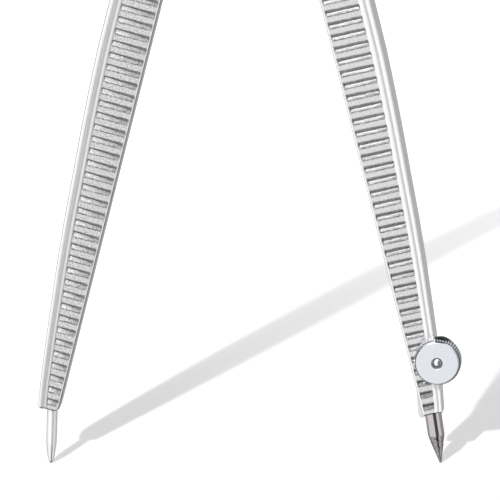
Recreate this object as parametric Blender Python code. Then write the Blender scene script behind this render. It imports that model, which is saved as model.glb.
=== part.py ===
"""Drawing compass with two geared, friction-hinged legs: needle point at left, clamped lead at right.

Metres, +Z up, the front faces -Y. The origin is the centre of the grip's flat top.
Each leg is made closed, hanging down from its pivot, and is then turned to the rest angle.
"""

import math

import bmesh
import bpy
from mathutils import Matrix, Vector

# Overall
pivot_drop = 0.0315  # from the top of the grip down to the hinge pins
pivot_spacing = 0.0072  # between the two hinge pins
closed_gap = 0.0004  # between the inner edges with the legs parallel
rest_angle = math.radians(13.94)  # opening of each leg from parallel

# Legs, measured from the pivot down along the leg and from its inner edge outward
needle_leg_length = 0.0899
lead_leg_length = 0.08925
leg_widest = 0.00606
leg_half_thick = 0.00160  # at the ribbed panel
leg_shoulder = 0.0072  # where the full section starts, below the pivot
leg_edge_chamfer = 0.00012
leg_end_bevel = 0.00014
rail_base = 0.00068  # the rail is this wide, plus rail_share of the leg's width
rail_share = 0.14
rail_rise = 0.00033
rim_width = 0.00028
# Position from the shoulder to the leg's end, and width there, as shares of that length and of leg_widest
leg_station_shares = (
    (0.000, 0.858), (0.062, 0.878), (0.162, 0.925), (0.286, 0.977), (0.361, 0.995), (0.414, 1.000),
    (0.465, 0.998), (0.502, 0.982), (0.538, 0.962), (0.574, 0.938), (0.611, 0.908), (0.647, 0.878),
    (0.684, 0.849), (0.720, 0.819), (0.755, 0.782), (0.791, 0.741), (0.827, 0.693), (0.863, 0.645),
    (0.900, 0.594), (0.936, 0.538), (0.972, 0.479), (0.990, 0.439), (1.000, 0.413),
)
# Across the rail: share of its width, share of its rise, share of the half thickness taken off
rail_shares = (
    (0.00, 0.00, 0.00), (0.10, 0.18, 0.00), (0.24, 0.70, 0.00), (0.40, 1.00, 0.00),
    (0.58, 0.92, 0.00), (0.76, 0.40, 0.00), (0.92, 0.00, 0.16), (1.00, 0.00, 0.48),
)
rib_pitch = 0.00149
rib_groove_width = 0.00073
rib_groove_depth = 0.00030
rib_end_slant = 0.00012
rib_first = 0.0098  # no groove is nearer the pivot
rib_end_margin = 0.00105  # from the lowest groove to the leg's end

# Hinge eyes and gear teeth
eye_half_thick = 0.00130
eye_radius = 0.00370
gear_tip_radius = 0.00408
gear_root_radius = 0.00290
gear_step = math.radians(36)
gear_tooth_tip = 0.00066
gear_tooth_root = 0.00130
gear_flank_slack = 0.00008
pin_radius = 0.00100
pin_clearance = 0.00008
washer_radius = 0.00270
washer_thick = 0.00022
washer_clearance = 0.00006

# Yoke
cheek_radius = 0.00450
cheek_thick = 0.00130
slot_top = 0.00460  # above the pivots
yoke_top = 0.00930
yoke_neck_half = 0.00330
yoke_bevel = 0.00025
boss_height = 0.00060

# Grip and its stud
grip_radius = 0.00330
grip_waist_radius = 0.00270
grip_flute_depth = 0.00022
grip_flutes = 32
grip_bevel = 0.00050
grip_knurl_start = 0.00220  # below the flat top
grip_knurl_end = 0.01500
stud_radius = 0.00125
stud_in_grip = 0.0080
stud_in_yoke = 0.0038
stud_end_play = 0.00030
fit_gap = 0.00006

# Pivot screws and nuts
screw_head_radius = 0.00205
screw_head_height = 0.00090
screw_slot_width = 0.00045
screw_slot_depth = 0.00040
screw_tail = 0.00035
nut_across_flats = 0.00380
nut_height = 0.00120

# Needle
needle_radius = 0.00063
needle_out = 0.00697  # beyond the leg's end
needle_in = 0.00560
needle_lean = math.radians(12.0)  # inward from the leg's inner edge
needle_exit = 0.00092  # from the inner edge, at the leg's end
needle_taper_start = 0.00270
needle_neck_radius = 0.00040
needle_point_length = 0.00086
needle_tip_radius = 0.00004
needle_bore_slack = 0.00003
set_screw_up = 0.00420
set_screw_radius = 0.00075
set_screw_sink = 0.00010
needle_end_corner = 0.00045  # cut off the inner corner of the needle leg's end
rear_pad_length = 0.0090  # no ribs on the back of the leg's lower end

# Lead and its holder
lead_radius = 0.00100
lead_out = 0.00640
lead_in = 0.01150
lead_lean = math.radians(5.3)
lead_exit = 0.00109
lead_point_length = 0.00350
lead_tip_radius = 0.00012
lead_bore_slack = 0.00004
lead_spare_bore = 0.00500
holder_end_gap = 0.00025
parting_gap = 0.00014
jaw_back = 0.00185
jaw_below = 0.00055
jaw_inner = 0.00072  # beyond the leg's inner edge
jaw_width = 0.00304
jaw_lean = math.radians(9)
jaw_corner = 0.00050
clamp_out = 0.00356  # clamp axis from the inner edge
clamp_up = 0.00665  # clamp axis above the leg's end
lug_radius = 0.00175
lug_front = 0.00197
clamp_stud_radius = 0.00050
clamp_stud_slack = 0.00005
clamp_head_radius = 0.00130
clamp_head_height = 0.00070
clamp_washer_radius = 0.00185
clamp_washer_thick = 0.00018
knob_radius = 0.00280
knob_face_radius = 0.00255
knob_thick = 0.00215
knob_teeth = 52
knob_tooth_depth = 0.00014
knob_bevel = 0.00020
knob_dish_radius = 0.00068
knob_dish_depth = 0.00022

merge_distance = 1e-7

ROUND = 32
FINE_ROUND = 48

# Looks: colour, metallic value and roughness
SATIN_CHROME = ((0.72, 0.73, 0.74), 1.0, 0.34)
POLISHED_STEEL = ((0.78, 0.79, 0.80), 1.0, 0.16)
TURNED_STEEL = ((0.66, 0.68, 0.71), 1.0, 0.28)
BRASS = ((0.72, 0.53, 0.24), 1.0, 0.35)
GRAPHITE = ((0.16, 0.15, 0.15), 0.2, 0.5)

inner_from_pivot = (pivot_spacing - closed_gap) / 2
slot_half = eye_half_thick + washer_thick + 2 * washer_clearance
yoke_half = slot_half + cheek_thick
holder_top = lead_leg_length - clamp_up - lug_radius - holder_end_gap


def clear_scene():
    for old in list(bpy.data.objects):
        bpy.data.objects.remove(old, do_unlink=True)


def material(name, colour, metallic, roughness):
    made = bpy.data.materials.new(name)
    made.use_nodes = True
    shader = made.node_tree.nodes["Principled BSDF"]
    shader.inputs["Base Color"].default_value = (*colour, 1.0)
    shader.inputs["Metallic"].default_value = metallic
    shader.inputs["Roughness"].default_value = roughness
    return made


def add_object(name, points, faces):
    mesh = bpy.data.meshes.new(name)
    mesh.from_pydata([tuple(p) for p in points], [], faces)
    work = bmesh.new()
    work.from_mesh(mesh)
    bmesh.ops.recalc_face_normals(work, faces=work.faces)
    work.to_mesh(mesh)
    work.free()
    made = bpy.data.objects.new(name, mesh)
    bpy.context.scene.collection.objects.link(made)
    return made


def loft(name, rings):
    """A closed body through rings of the same number of points, capped at both ends."""
    count = len(rings[0])
    points = [p for ring in rings for p in ring]
    faces = []
    for i in range(len(rings) - 1):
        a, b = i * count, (i + 1) * count
        for k in range(count):
            m = (k + 1) % count
            faces.append((a + k, a + m, b + m, b + k))
    faces.append(tuple(range(count)))
    faces.append(tuple(range(len(points) - count, len(points))))
    return add_object(name, points, faces)


def prism(name, outline, y0, y1):
    """An outline in X and Z, carried from y0 to y1."""
    return loft(name, [[(x, y, z) for x, z in outline] for y in (y0, y1)])


def turned(name, profile, start, along, steps=ROUND):
    """A round body about the line from start, direction along; profile holds (distance, radius)."""
    along = Vector(along).normalized()
    side = along.orthogonal().normalized()
    other = along.cross(side)
    start = Vector(start)
    rings = []
    for distance, radius in profile:
        ring = []
        for k in range(steps):
            a = math.tau * k / steps
            ring.append(start + along * distance + (side * math.cos(a) + other * math.sin(a)) * radius)
        rings.append(ring)
    return loft(name, rings)


def arc(cx, cz, radius, a0, a1, steps):
    """Points of an arc in X and Z, angles in radians from +X towards +Z."""
    found = []
    for k in range(steps + 1):
        a = a0 + (a1 - a0) * k / steps
        found.append((cx + radius * math.cos(a), cz + radius * math.sin(a)))
    return found


def combine(target, tool, operation):
    """Adds or takes away the tool, bakes the result and removes the tool."""
    step = target.modifiers.new("step", "BOOLEAN")
    step.operation = operation
    step.solver = "EXACT"
    step.object = tool
    bpy.context.view_layer.update()
    graph = bpy.context.evaluated_depsgraph_get()
    baked = bpy.data.meshes.new_from_object(target.evaluated_get(graph))
    target.modifiers.remove(step)
    target.data = baked
    bpy.data.objects.remove(tool, do_unlink=True)


def cut(target, tool):
    combine(target, tool, "DIFFERENCE")


def join(target, tool):
    combine(target, tool, "UNION")


def tidy(target, sharp_angle=math.radians(32)):
    """Drops doubled points, and shades curved faces smooth."""
    work = bmesh.new()
    work.from_mesh(target.data)
    bmesh.ops.remove_doubles(work, verts=work.verts, dist=merge_distance)
    bmesh.ops.dissolve_degenerate(work, edges=work.edges, dist=merge_distance)
    work.to_mesh(target.data)
    work.free()
    target.data.shade_smooth()
    target.data.set_sharp_from_angle(angle=sharp_angle)


def leg_stations(length):
    """(distance below the pivot, width) at each station of a leg of this length."""
    return [(leg_shoulder + (length - leg_shoulder) * a, leg_widest * b) for a, b in leg_station_shares]


def leg_width(down, length):
    """The width at this distance below the pivot, of a leg of this length."""
    stations = leg_stations(length)
    if down <= stations[0][0]:
        return stations[0][1]
    for (d0, w0), (d1, w1) in zip(stations, stations[1:]):
        if down <= d1:
            return w0 + (w1 - w0) * (down - d0) / (d1 - d0)
    return stations[-1][1]


def rail_width(width):
    """The outer rail narrows with the leg."""
    return rail_base + rail_share * width


def leg_section(down, width, inset=0):
    """The leg's outline at one station: inner edge, ribbed panel, rail, and the same at the back."""
    rail = rail_width(width)
    half = [
        (inset, leg_half_thick - leg_edge_chamfer - inset),
        (inset + leg_edge_chamfer, leg_half_thick - inset),
    ]
    for across, rise, drop in rail_shares:
        half.append(
            (
                width - rail + rail * across - inset * across,
                leg_half_thick + rail_rise * rise - leg_half_thick * drop - inset,
            )
        )
    front = [(v - inner_from_pivot, -y, -down) for v, y in half]
    back = [(v - inner_from_pivot, y, -down) for v, y in reversed(half)]
    return front + back


def rib_tools(side, length, last):
    """The rib grooves of one face as one tool: three-sided bars with slanted ends."""
    points, faces = [], []
    over = rib_groove_depth
    count = int((length - rib_end_margin - rib_first) / rib_pitch) + 1
    for k in range(count):
        mid = length - rib_end_margin - k * rib_pitch
        if mid > last:
            continue
        width = leg_width(mid, length)
        v0 = rim_width
        v1 = width - rail_width(width)
        spread = rib_groove_width / 2 * (1 + over / rib_groove_depth)
        first = len(points)
        for v, slant in ((v0, -rib_end_slant), (v1, rib_end_slant)):
            x = v - inner_from_pivot
            points.append((x + slant, side * (leg_half_thick + over), -(mid - spread)))
            points.append((x + slant, side * (leg_half_thick + over), -(mid + spread)))
            points.append((x - slant, side * (leg_half_thick - rib_groove_depth), -mid))
        a, b, c, d, e, f = range(first, first + 6)
        faces += [(a, b, c), (d, f, e), (a, d, e, b), (b, e, f, c), (c, f, d, a)]
    return add_object("rib_tool", points, faces)


def gear_outline(first_tooth):
    """The eye's outline in X and Z about the pivot, inner side at -X, teeth from first_tooth upward."""
    points = []
    tip_half = gear_tooth_tip / 2
    root_half = gear_tooth_root / 2

    def polar(radius, angle):
        # Angle from the inward direction towards +Z.
        return (-radius * math.cos(angle), radius * math.sin(angle))

    points.append(polar(gear_root_radius, first_tooth - gear_step * 3 / 4))
    for k in range(3):
        middle = first_tooth + gear_step * k
        for radius, half, sign in (
            (gear_root_radius, root_half, -1),
            (gear_tip_radius, tip_half, -1),
            (gear_tip_radius, tip_half, 1),
            (gear_root_radius, root_half, 1),
        ):
            points.append(polar(radius, middle + sign * (half - gear_flank_slack) / radius))
    top = first_tooth + gear_step * 3 - gear_step / 4
    points.append(polar(gear_root_radius, top))
    return points, top


def leg_eye(name, length, first_tooth):
    """Thin hinge eye with gear teeth, and the neck that runs down into the leg."""
    teeth, top = gear_outline(first_tooth)
    inner = rim_width / 2 - inner_from_pivot
    outer = leg_width(leg_shoulder, length) - inner_from_pivot - rim_width
    depth = leg_shoulder + eye_half_thick
    start = math.pi - top - math.radians(8)
    crown = arc(0, 0, eye_radius, start, -math.radians(38), 26)
    crown.reverse()
    # From the neck's inner bottom corner, up the teeth, over the crown and down the outer side.
    outline = [(inner, -depth), (inner, -eye_radius * math.sin(math.radians(50)))]
    outline += teeth
    outline += list(reversed(crown))
    outline += [(outer, -leg_shoulder), (outer, -depth)]
    return prism(name, outline, -eye_half_thick, eye_half_thick)


def mirror(target):
    """Turns a leg made for the right-hand side into one for the left."""
    target.data.transform(Matrix.Scale(-1, 4, (1, 0, 0)))
    target.data.flip_normals()


def leg_body(name, length, first_tooth, last_back):
    """The right-hand leg, closed, its pivot at the origin; no groove at the back is below last_back."""
    stations = leg_stations(length)
    end_width = stations[-1][1]
    rings = [leg_section(down, width) for down, width in stations[:-1]]
    rings.append(leg_section(length - leg_end_bevel, end_width))
    rings.append(leg_section(length, end_width, leg_end_bevel))
    body = loft(name, rings)
    cut(body, rib_tools(-1, length, length))
    cut(body, rib_tools(1, length, last_back))
    join(body, leg_eye("eye", length, first_tooth))
    reach = yoke_half
    cut(body, turned("pin_hole", ((-reach, pin_radius + pin_clearance), (reach, pin_radius + pin_clearance)),
                     (0, 0, 0), (0, 1, 0)))
    return body


def on_leg(out, y, down):
    """A point of a right-hand leg: out from the inner edge, y, and down from the pivot."""
    return Vector((out - inner_from_pivot, y, -down))


def lean_axis(lean):
    return Vector((-math.sin(lean), 0, -math.cos(lean)))


def make_needle_leg():
    leg = leg_body("needle_leg", needle_leg_length, -gear_step / 2, needle_leg_length - rear_pad_length)
    way = lean_axis(needle_lean)
    exit_point = on_leg(needle_exit, 0, needle_leg_length)
    inner = -inner_from_pivot
    end = -needle_leg_length
    corner = (
        (inner - needle_end_corner, end + 2 * needle_end_corner),
        (inner + 2 * needle_end_corner, end - needle_end_corner),
        (inner - needle_end_corner, end - needle_end_corner),
    )
    cut(leg, prism("end_corner", corner, -yoke_half, yoke_half))
    bore = needle_radius + needle_bore_slack
    bore_profile = ((-(needle_in + stud_end_play), bore), (needle_radius * 2, bore))
    cut(leg, turned("bore", bore_profile, exit_point, way))
    hold = exit_point - way * set_screw_up
    hole = set_screw_radius + needle_bore_slack
    cut(leg, turned("hold_hole", ((0, hole), (yoke_half, hole)), hold, (0, 1, 0), 24))
    tidy(leg)
    needle = turned(
        "needle",
        (
            (-needle_in, needle_radius - needle_tip_radius),
            (-needle_in + needle_tip_radius, needle_radius),
            (needle_out - needle_taper_start, needle_radius),
            (needle_out - needle_point_length, needle_neck_radius),
            (needle_out, needle_tip_radius),
        ),
        exit_point,
        way,
    )
    tidy(needle, math.radians(60))
    near = needle_radius + needle_bore_slack
    far = leg_half_thick - set_screw_sink
    grub = turned(
        "needle_set_screw",
        (
            (near, set_screw_radius - set_screw_sink),
            (near + set_screw_sink, set_screw_radius),
            (far, set_screw_radius),
        ),
        hold,
        (0, 1, 0),
        24,
    )
    slot = screw_slot_width / 2
    wide = set_screw_radius * 2
    cut(grub, prism("slot", ((hold.x - wide, hold.z - slot), (hold.x + wide, hold.z - slot),
                             (hold.x + wide, hold.z + slot), (hold.x - wide, hold.z + slot)),
                    far - screw_slot_depth, far + screw_slot_depth))
    tidy(grub)
    for piece in (leg, needle, grub):
        mirror(piece)
    return leg, [needle, grub]


def jaw_outline():
    """The rear jaw seen from the front, in the leg's own X and Z."""
    x0 = -jaw_inner - inner_from_pivot
    bottom = -(lead_leg_length + jaw_below)
    x1 = x0 + jaw_width
    lean = math.tan(jaw_lean)
    axis = on_leg(clamp_out, 0, lead_leg_length - clamp_up)
    top = axis.z + lug_radius
    points = arc(x0 + jaw_corner, bottom + jaw_corner, jaw_corner, -math.pi / 2, -math.pi, 6)
    points += [(x0 + (top - bottom) * lean, top)]
    points += arc(axis.x, axis.z, lug_radius, math.pi / 2, -math.radians(35), 16)
    points += [(x1 + (axis.z - lug_radius - bottom) * lean, axis.z - lug_radius)]
    points += arc(x1 - jaw_corner, bottom + jaw_corner, jaw_corner, 0, -math.pi / 2, 6)
    return points


def make_lead_leg():
    leg = leg_body("lead_leg", lead_leg_length, 0, holder_top - rib_pitch)
    way = lean_axis(lead_lean)
    exit_point = on_leg(lead_exit, 0, lead_leg_length)
    axis = on_leg(clamp_out, 0, lead_leg_length - clamp_up)
    join(leg, turned("lug", ((-lug_front, lug_radius - knob_bevel), (-lug_front + knob_bevel, lug_radius),
                             (0, lug_radius)), axis, (0, 1, 0)))
    far = leg_widest * 2
    step = -holder_top
    low = -2 * lead_leg_length
    rear_half = ((-far, low), (far, low), (far, step), (-far, step))
    cut(leg, prism("rear_half", rear_half, -parting_gap, yoke_half))
    bore = lead_radius + lead_bore_slack
    cut(leg, turned("bore", ((-(lead_in + lead_spare_bore), bore), (lead_radius * 2, bore)), exit_point, way))
    hole = clamp_stud_radius + clamp_stud_slack
    cut(leg, turned("clamp_hole", ((-yoke_half, hole), (yoke_half, hole)), axis, (0, 1, 0), 24))
    tidy(leg)

    lead = turned(
        "lead",
        (
            (-lead_in, lead_radius - lead_tip_radius),
            (-lead_in + lead_tip_radius, lead_radius),
            (lead_out - lead_point_length, lead_radius),
            (lead_out, lead_tip_radius),
        ),
        exit_point,
        way,
    )
    tidy(lead, math.radians(60))

    jaw = prism("clamp_jaw", jaw_outline(), parting_gap, jaw_back)
    cut(jaw, turned("bore", ((-(lead_in + lead_spare_bore), bore), (lead_radius * 2, bore)), exit_point, way))
    cut(jaw, turned("clamp_hole", ((0, hole), (yoke_half, hole)), axis, (0, 1, 0), 24))
    tidy(jaw)

    washer_back = -lug_front - fit_gap
    washer_front = washer_back - clamp_washer_thick
    knob_back = washer_front - fit_gap
    knob_face = knob_back - knob_thick
    stud_front = knob_face + knob_dish_depth - fit_gap
    head = jaw_back + fit_gap
    stud = turned(
        "clamp_screw",
        (
            (stud_front, clamp_stud_radius * 3 / 4),
            (stud_front + fit_gap, clamp_stud_radius),
            (head, clamp_stud_radius),
            (head, clamp_head_radius),
            (head + clamp_head_height * 3 / 4, clamp_head_radius),
            (head + clamp_head_height, clamp_head_radius * 3 / 4),
        ),
        axis,
        (0, 1, 0),
        24,
    )
    tidy(stud)
    washer = ring("clamp_washer", axis, washer_front, washer_back, clamp_washer_radius, hole)
    knob = make_knob(axis, knob_face, knob_back, hole)
    return leg, [lead, jaw, stud, washer, knob]


def ring(name, centre, y0, y1, radius, hole):
    made = turned(name, ((y0, radius), (y1, radius)), centre, (0, 1, 0))
    cut(made, turned("hole", ((y0 - radius, hole), (y1 + radius, hole)), centre, (0, 1, 0), 24))
    tidy(made)
    return made


def make_knob(axis, face, back, hole):
    """Knurled nut: fine straight teeth, a bevelled face and a dished centre."""
    rings = []
    for y, radius, depth in (
        (face, knob_face_radius - knob_bevel, 0),
        (face + knob_bevel / 2, knob_face_radius, 0),
        (face + knob_bevel, knob_radius - knob_tooth_depth, 0),
        (face + knob_bevel * 3 / 2, knob_radius, knob_tooth_depth),
        (back - knob_bevel, knob_radius, knob_tooth_depth),
        (back, knob_radius - knob_tooth_depth - knob_bevel / 2, 0),
    ):
        points = []
        for k in range(2 * knob_teeth):
            a = math.tau * k / (2 * knob_teeth)
            r = radius - depth * (k % 2)
            points.append((axis.x + r * math.cos(a), y, axis.z + r * math.sin(a)))
        rings.append(points)
    knob = loft("clamp_knob", rings)
    cut(knob, turned("hole", ((face - knob_thick, hole), (back + knob_thick, hole)), axis, (0, 1, 0), 24))
    dish = ((face - knob_thick, knob_dish_radius), (face + knob_dish_depth, knob_dish_radius))
    cut(knob, turned("dish", dish, axis, (0, 1, 0), 24))
    tidy(knob)
    return knob


def make_yoke():
    """Fork with rounded cheeks, a slot for the eyes, pin holes and a bore for the handle stud."""
    half = pivot_spacing / 2
    outline = arc(-half, 0, cheek_radius, -math.pi / 2, -math.pi * 7 / 6, 14)
    outline += [(-yoke_neck_half, yoke_top), (yoke_neck_half, yoke_top)]
    outline += arc(half, 0, cheek_radius, math.pi / 6, -math.pi / 2, 14)
    narrower = 1 - yoke_bevel / (half + cheek_radius)
    lower = 1 - yoke_bevel / yoke_top
    inner = [(x * narrower, z * lower) for x, z in outline]
    rings = []
    for y, points in ((-yoke_half, inner), (-yoke_half + yoke_bevel, outline),
                      (yoke_half - yoke_bevel, outline), (yoke_half, inner)):
        rings.append([(x, y, z) for x, z in points])
    yoke = loft("head_yoke", rings)
    boss = ((0, yoke_half - yoke_bevel), (boss_height + yoke_bevel, yoke_half - yoke_bevel))
    join(yoke, turned("boss", boss, (0, 0, yoke_top - yoke_bevel), (0, 0, 1)))
    wide = pivot_spacing + 2 * cheek_radius
    cut(yoke, prism("slot", ((-wide, -wide), (wide, -wide), (wide, slot_top), (-wide, slot_top)),
                    -slot_half, slot_half))
    hole = pin_radius + fit_gap
    for sign in (-1, 1):
        cut(yoke, turned("pin_hole", ((-wide, hole), (wide, hole)), (sign * half, 0, 0), (0, 1, 0)))
    deep = yoke_top + boss_height - stud_in_yoke
    bore = stud_radius + fit_gap
    cut(yoke, turned("stud_bore", ((deep - stud_end_play, bore), (wide, bore)), (0, 0, 0), (0, 0, 1)))
    tidy(yoke)
    yoke.location = (0, 0, -pivot_drop)
    return yoke


def make_grip():
    """Round grip: flat top, straight knurl between two plain bands, a waist and a base flange."""
    base = -(pivot_drop - yoke_top - boss_height - fit_gap)
    flange = yoke_half - yoke_bevel
    levels = (
        (0, grip_radius - grip_bevel, 0),
        (-grip_bevel / 2, grip_radius - grip_bevel / 6, 0),
        (-grip_bevel, grip_radius, 0),
        (-grip_knurl_start, grip_radius, 0),
        (-grip_knurl_start - grip_bevel / 2, grip_radius, grip_flute_depth),
        (-grip_knurl_end + grip_bevel / 2, grip_radius, grip_flute_depth),
        (-grip_knurl_end, grip_radius, 0),
        (-grip_knurl_end - grip_bevel, grip_radius - grip_bevel / 4, 0),
        (-grip_knurl_end - grip_bevel * 3, grip_waist_radius, 0),
        (base + grip_bevel * 2, grip_waist_radius, 0),
        (base + grip_bevel, flange - grip_bevel / 3, 0),
        (base + grip_bevel / 2, flange, 0),
        (base, flange, 0),
    )
    rings = []
    for z, radius, depth in levels:
        points = []
        for k in range(2 * grip_flutes):
            a = math.tau * k / (2 * grip_flutes)
            r = radius - depth * (k % 2)
            points.append((r * math.cos(a), r * math.sin(a), z))
        rings.append(points)
    grip = loft("handle_grip", rings)
    bore = stud_radius + fit_gap
    bore_profile = ((-grip_radius, bore), (stud_in_grip + stud_end_play, bore))
    cut(grip, turned("bore", bore_profile, (0, 0, base), (0, 0, 1)))
    tidy(grip)
    top = base + stud_in_grip
    bottom = base - stud_in_yoke
    tip = stud_end_play
    stud = turned(
        "handle_stud",
        (
            (bottom, stud_radius - tip),
            (bottom + tip, stud_radius),
            (top - tip, stud_radius),
            (top, stud_radius - tip),
        ),
        (0, 0, 0),
        (0, 0, 1),
    )
    tidy(stud)
    return grip, stud


def make_pivot(word, sign):
    """Slotted screw, nut and two friction washers of one hinge, about the origin; placed afterwards."""
    face = -yoke_half - fit_gap
    back = yoke_half + fit_gap
    lip = screw_head_height / 5
    screw = turned(
        "pivot_screw_" + word,
        (
            (face - screw_head_height, screw_head_radius - lip),
            (face - screw_head_height + lip, screw_head_radius),
            (face, screw_head_radius),
            (face, pin_radius),
            (back + nut_height + screw_tail - lip, pin_radius),
            (back + nut_height + screw_tail, pin_radius - lip),
        ),
        (0, 0, 0),
        (0, 1, 0),
    )
    wide = screw_head_radius * 2
    slot = screw_slot_width / 2
    cut(screw, prism("slot", ((-wide, -slot), (wide, -slot), (wide, slot), (-wide, slot)),
                     face - 2 * screw_head_height, face - screw_head_height + screw_slot_depth))
    tidy(screw)
    corner = nut_across_flats / math.sqrt(3)
    nut = turned("pivot_nut_" + word, ((back, corner), (back + nut_height, corner)), (0, 0, 0), (0, 1, 0), 6)
    trim = turned(
        "trim",
        (
            (back - lip, corner - lip / 2),
            (back + nut_height - lip, corner),
            (back + nut_height + lip, corner - lip * 3),
        ),
        (0, 0, 0),
        (0, 1, 0),
        FINE_ROUND,
    )
    combine(nut, trim, "INTERSECT")
    hole = pin_radius + fit_gap
    cut(nut, turned("hole", ((0, hole), (back + 2 * nut_height, hole)), (0, 0, 0), (0, 1, 0)))
    tidy(nut)
    inner = eye_half_thick + washer_clearance
    outer = inner + washer_thick
    front = ring("washer_front_" + word, Vector((0, 0, 0)), -outer, -inner, washer_radius, hole)
    rear = ring("washer_back_" + word, Vector((0, 0, 0)), inner, outer, washer_radius, hole)
    pieces = [screw, nut, front, rear]
    for piece in pieces:
        piece.location = (sign * pivot_spacing / 2, 0, -pivot_drop)
    return pieces


def place_leg(leg, riders, sign):
    """Hangs a leg on its pivot and turns it, with its riders, to the rest angle."""
    leg.location = (sign * pivot_spacing / 2, 0, -pivot_drop)
    leg.rotation_euler = (0, -sign * rest_angle, 0)
    for piece in riders:
        piece.location = leg.location
        piece.rotation_euler = leg.rotation_euler


def dress(pieces, look):
    """Gives each piece a material of its own with this colour, metallic value and roughness."""
    for piece in pieces:
        piece.data.materials.clear()
        piece.data.materials.append(material(piece.name, *look))


def main():
    clear_scene()
    needle_leg, needle_riders = make_needle_leg()
    lead_leg, lead_riders = make_lead_leg()
    place_leg(needle_leg, needle_riders, -1)
    place_leg(lead_leg, lead_riders, 1)
    yoke = make_yoke()
    grip, stud = make_grip()
    needle_pivot = make_pivot("needle", -1)
    lead_pivot = make_pivot("lead", 1)

    lead, jaw, clamp_screw, clamp_washer, knob = lead_riders
    dress([needle_leg, lead_leg, yoke, jaw], SATIN_CHROME)
    dress([needle_riders[0]], POLISHED_STEEL)
    dress([needle_riders[1], knob, grip, stud, clamp_screw, clamp_washer], TURNED_STEEL)
    dress(needle_pivot[:2] + lead_pivot[:2], POLISHED_STEEL)
    dress(needle_pivot[2:] + lead_pivot[2:], BRASS)
    dress([lead], GRAPHITE)


main()
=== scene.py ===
"""Looks of the drawing compass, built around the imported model: metres, +Z up, the front faces -Y."""

from math import atan2, cos, hypot, pi, radians, sin, sqrt, tan, tau

import bmesh
import bpy
from mathutils import Matrix, Vector, noise


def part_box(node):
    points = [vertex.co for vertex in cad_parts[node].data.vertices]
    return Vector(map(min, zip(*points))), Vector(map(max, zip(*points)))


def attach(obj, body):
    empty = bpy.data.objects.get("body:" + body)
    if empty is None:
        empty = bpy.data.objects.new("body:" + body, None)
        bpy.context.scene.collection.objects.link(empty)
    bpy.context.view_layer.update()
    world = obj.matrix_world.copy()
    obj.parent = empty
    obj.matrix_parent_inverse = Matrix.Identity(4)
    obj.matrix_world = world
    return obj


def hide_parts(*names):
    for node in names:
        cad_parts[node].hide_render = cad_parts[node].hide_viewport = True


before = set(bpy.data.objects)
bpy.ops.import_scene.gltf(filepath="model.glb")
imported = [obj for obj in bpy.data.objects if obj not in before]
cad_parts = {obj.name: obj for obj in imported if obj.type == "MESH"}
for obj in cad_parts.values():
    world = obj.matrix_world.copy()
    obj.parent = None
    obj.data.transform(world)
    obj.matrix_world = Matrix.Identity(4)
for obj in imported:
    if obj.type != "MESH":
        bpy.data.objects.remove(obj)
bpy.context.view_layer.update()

scene = bpy.context.scene
MM = 0.001

# The compass as it was dimensioned: two legs that hang from their pivots, turned out to the rest angle
pivot_spacing = 7.2 * MM
closed_gap = 0.4 * MM
rest_angle = radians(13.94)
needle_leg_length = 89.9 * MM
lead_leg_length = 89.25 * MM
leg_shoulder = 7.2 * MM
leg_widest = 6.06 * MM
leg_half_thick = 1.60 * MM
rail_base = 0.68 * MM
rail_share = 0.14
rail_rise = 0.33 * MM
rim_width = 0.28 * MM
rib_pitch = 1.49 * MM
rib_end_margin = 1.05 * MM
rib_first = 9.8 * MM
rear_pad_length = 9.0 * MM
inner_from_pivot = (pivot_spacing - closed_gap) / 2
leg_station_shares = (
    (0.000, 0.858), (0.062, 0.878), (0.162, 0.925), (0.286, 0.977), (0.361, 0.995), (0.414, 1.000),
    (0.465, 0.998), (0.502, 0.982), (0.538, 0.962), (0.574, 0.938), (0.611, 0.908), (0.647, 0.878),
    (0.684, 0.849), (0.720, 0.819), (0.755, 0.782), (0.791, 0.741), (0.827, 0.693), (0.863, 0.645),
    (0.900, 0.594), (0.936, 0.538), (0.972, 0.479), (0.990, 0.439), (1.000, 0.413),
)

yoke_bevel = 0.25 * MM
pivot_drop = 31.5 * MM

# Hinge eyes and gear teeth
eye_half_thick = 1.30 * MM
eye_radius = 3.70 * MM
gear_tip_radius = 4.08 * MM
gear_root_radius = 2.90 * MM
gear_step = radians(36)
gear_tooth_tip = 0.66 * MM
gear_tooth_root = 1.30 * MM
gear_flank_slack = 0.08 * MM
pin_radius = 1.00 * MM
pin_clearance = 0.08 * MM
washer_radius = 2.70 * MM
washer_thick = 0.22 * MM
washer_clearance = 0.06 * MM
fit_gap = 0.06 * MM

# Yoke, grip and pivots
cheek_radius = 4.50 * MM
cheek_thick = 1.30 * MM
slot_top = 4.60 * MM
yoke_top = 9.30 * MM
yoke_neck_half = 3.30 * MM
boss_height = 0.60 * MM
grip_radius = 3.30 * MM
grip_waist_radius = 2.70 * MM
grip_bevel = 0.50 * MM
grip_knurl_start = 2.20 * MM
grip_knurl_end = 15.00 * MM
stud_radius = 1.25 * MM
screw_head_radius = 2.05 * MM
screw_head_height = 0.90 * MM
screw_slot_width = 0.45 * MM
screw_slot_depth = 0.40 * MM
screw_tail = 0.35 * MM
nut_across_flats = 3.80 * MM
nut_height = 1.20 * MM
slot_half = eye_half_thick + washer_thick + 2 * washer_clearance
yoke_half = slot_half + cheek_thick

# Needle
needle_radius = 0.63 * MM
needle_out = 6.97 * MM
needle_in = 5.60 * MM
needle_lean = radians(12.0)
needle_exit = 0.92 * MM
needle_taper_start = 2.70 * MM
needle_neck_radius = 0.40 * MM
needle_point_length = 0.86 * MM
needle_tip_radius = 0.04 * MM
needle_bore_slack = 0.03 * MM
set_screw_up = 4.20 * MM
set_screw_radius = 0.75 * MM
set_screw_sink = 0.10 * MM
needle_end_corner = 0.45 * MM

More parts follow.
